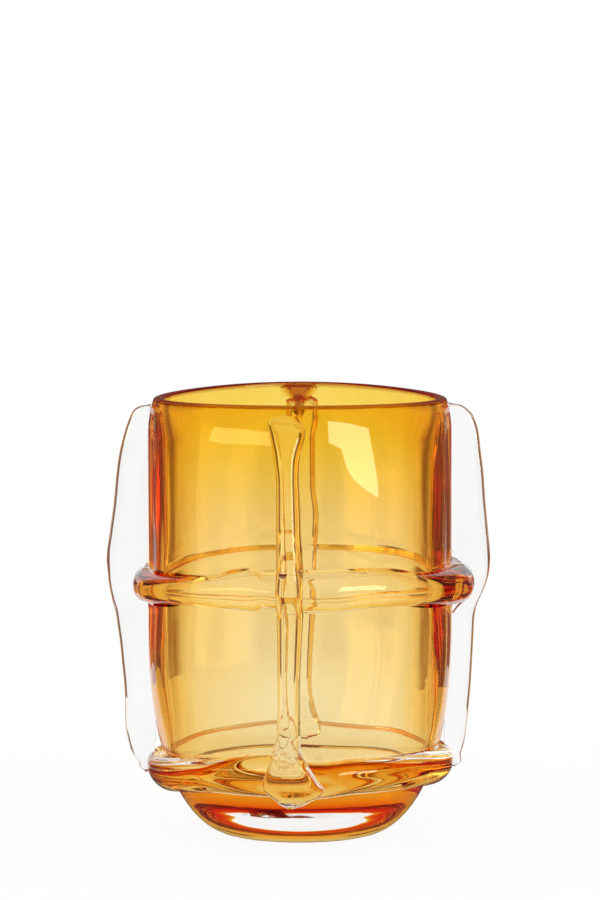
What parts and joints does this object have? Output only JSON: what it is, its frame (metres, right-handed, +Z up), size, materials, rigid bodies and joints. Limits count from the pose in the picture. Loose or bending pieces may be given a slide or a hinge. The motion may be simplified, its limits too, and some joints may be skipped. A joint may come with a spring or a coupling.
{
  "type": "glass vase",
  "caption": "Hand-blown vase: amber cup cased in clear glass, ringed by clear bands and upright ribs; holds flowers or water.",
  "frame": {"origin": "centre of the flat foot, on the surface that the vase stands on", "axes": "+Z up along the axis of the vessel, -Y towards the front rib, +X towards the right rib"},
  "size_m": [0.1748, 0.1679, 0.2008],
  "materials": {
    "amber_glass": "polished",
    "clear_glass": "polished"
  },
  "bodies": {
    "root": {"amber_liner": "amber_glass", "clear_casing": "clear_glass", "mid_band": "clear_glass", "lower_band": "clear_glass", "front_rib": "clear_glass", "back_rib": "clear_glass", "left_rib": "clear_glass", "right_rib": "clear_glass"}
  },
  "joints": []
}
